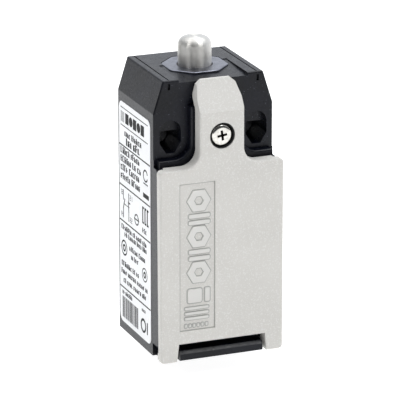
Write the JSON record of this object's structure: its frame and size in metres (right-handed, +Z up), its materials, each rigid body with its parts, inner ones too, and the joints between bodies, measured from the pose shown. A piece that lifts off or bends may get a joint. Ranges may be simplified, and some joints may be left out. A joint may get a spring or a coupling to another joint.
{
  "type": "limit switch",
  "caption": "Compact limit switch with a domed push plunger, a stepped metal housing, a hinged front cover with a tongue, and a contact block with screw terminals inside.",
  "frame": {"origin": "on the standing plane, under the middle of the width and of the depth", "axes": "+Z up along the plunger, -Y the covered front, +Y the mounting face at the back, +X to the right seen from the front"},
  "size_m": [0.031, 0.0294, 0.0742],
  "materials": {
    "die_cast_black": "satin",
    "grey_moulding": "satin",
    "black_rubber": "matte",
    "white_label": "satin",
    "steel_pin": "satin",
    "brass_parts": "satin",
    "plated_screws": "gloss",
    "zinc_plate": "satin",
    "stainless_steel": "polished",
    "spring_wire": "satin",
    "block_moulding": "matte",
    "lid_moulding": "satin",
    "silver_tips": "satin",
    "white_acetal": "satin"
  },
  "bodies": {
    "housing": {"housing": "die_cast_black", "hinge_pin": "steel_pin", "cover_gasket": "black_rubber", "rating_label": "white_label", "cover_screw_insert": "brass_parts", "head_plate": "zinc_plate", "plunger_guide_bush": "brass_parts", "plunger_seal": "black_rubber", "plunger_spring": "spring_wire", "contact_block_base": "block_moulding", "contact_block_lid": "lid_moulding", "fixed_contacts_upper": "brass_parts", "fixed_contact_tips_upper": "silver_tips", "fixed_contacts_lower": "brass_parts", "fixed_contact_tips_lower": "silver_tips", "terminal_screws": "plated_screws", "terminal_clamps": "zinc_plate", "carriage_spring": "spring_wire", "block_fixing_screw": "plated_screws", "earth_clamp": "zinc_plate", "earth_screw": "plated_screws"},
    "cover": {"front_cover": "grey_moulding", "cover_screw_seal": "black_rubber"},
    "cover_screw": {"cover_screw": "plated_screws"},
    "plunger": {"plunger": "stainless_steel"},
    "actuator": {"block_actuator": "white_acetal"},
    "carriage": {"contact_carriage": "white_acetal", "opening_contact_bridge": "brass_parts", "opening_contact_tips": "silver_tips", "closing_contact_bridge": "brass_parts", "closing_contact_tips": "silver_tips", "bridge_springs": "spring_wire", "overtravel_spring": "spring_wire"}
  },
  "joints": [
    {"name": "plunger_press", "type": "slide", "parent": "housing", "child": "plunger", "axis": [0, 0, -1], "range_m": [0, 0.005], "stiffness_N_per_m": 1600, "springref_m": -0.002, "deforming": ["plunger_spring"]},
    {"name": "actuator_press", "type": "slide", "parent": "housing", "child": "actuator", "axis": [0, 0, -1], "range_m": [0, 0.005], "deforming": ["overtravel_spring"]},
    {"name": "carriage_travel", "type": "slide", "parent": "housing", "child": "carriage", "axis": [0, 0, -1], "range_m": [0, 0.0016], "deforming": ["carriage_spring"]},
    {"name": "cover_hinge", "type": "hinge", "parent": "housing", "child": "cover", "pos_m": [0, -0.0097, 0.0015], "axis": [1, 0, 0], "range_deg": [0, 90]},
    {"name": "cover_screw_undo", "type": "slide", "parent": "cover", "child": "cover_screw", "axis": [0, -1, 0], "range_m": [0, 0.004]}
  ],
  "couplings": [
    {"joint": "actuator_press", "follows": "plunger_press", "ratio": 1},
    {"joint": "carriage_travel", "follows": "plunger_press", "ratio": 0.32}
  ]
}
